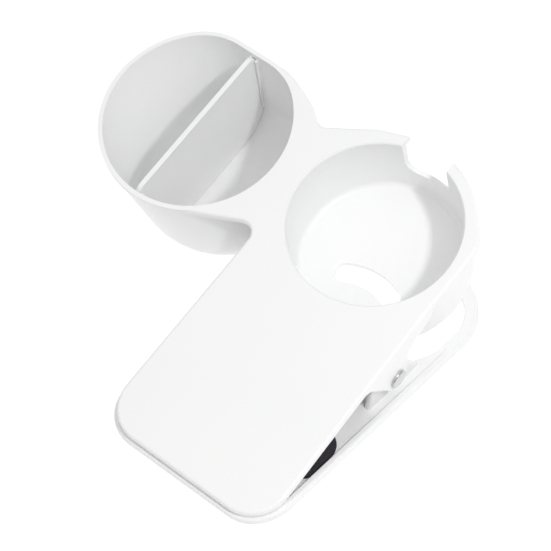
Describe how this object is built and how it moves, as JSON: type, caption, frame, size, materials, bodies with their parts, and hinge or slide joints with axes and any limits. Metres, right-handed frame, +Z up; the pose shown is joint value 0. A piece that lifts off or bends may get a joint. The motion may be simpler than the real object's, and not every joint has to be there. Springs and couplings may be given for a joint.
{
  "type": "clip-on desk cup holder",
  "caption": "Sprung table-edge clamp with a round mug cup, notched for a handle, and a divided storage cup on its upper arm; the looped lower arm is squeezed to open the jaw.",
  "frame": {"origin": "centre of the upper pad's contact face, where the holder rests on a table top", "axes": "+Z up, +Y from the jaw's tip towards the mug cup, +X across the arms, away from the side cup"},
  "size_m": [0.2209, 0.2113, 0.0816],
  "materials": {
    "body_plastic": "white, moulded, softly glossy",
    "pad_rubber": "charcoal foam rubber",
    "pin_steel": "satin",
    "spring_steel": "drawn wire",
    "sleeve_plastic": "plain moulded"
  },
  "bodies": {
    "upper": {"upper_arm": "body_plastic", "upper_pad": "pad_rubber", "pivot_pin": "pin_steel", "pin_cap": "pin_steel", "pivot_sleeve": "sleeve_plastic", "spring_right": "spring_steel", "spring_left": "spring_steel"},
    "lower": {"lower_arm": "body_plastic", "lower_pad": "pad_rubber"},
    "divider": {"divider": "body_plastic"}
  },
  "joints": [
    {"name": "jaw_hinge", "type": "hinge", "parent": "upper", "child": "lower", "pos_m": [0, 0.064, -0.0215], "axis": [1, 0, 0], "range_deg": [0, 16], "stiffness_Nm_per_rad": 1.75, "springref_deg": -34.38, "deforming": ["spring_right", "spring_left"]},
    {"name": "divider_lift", "type": "slide", "parent": "upper", "child": "divider", "axis": [0, 0, 1], "range_m": [0, 0.062]}
  ]
}
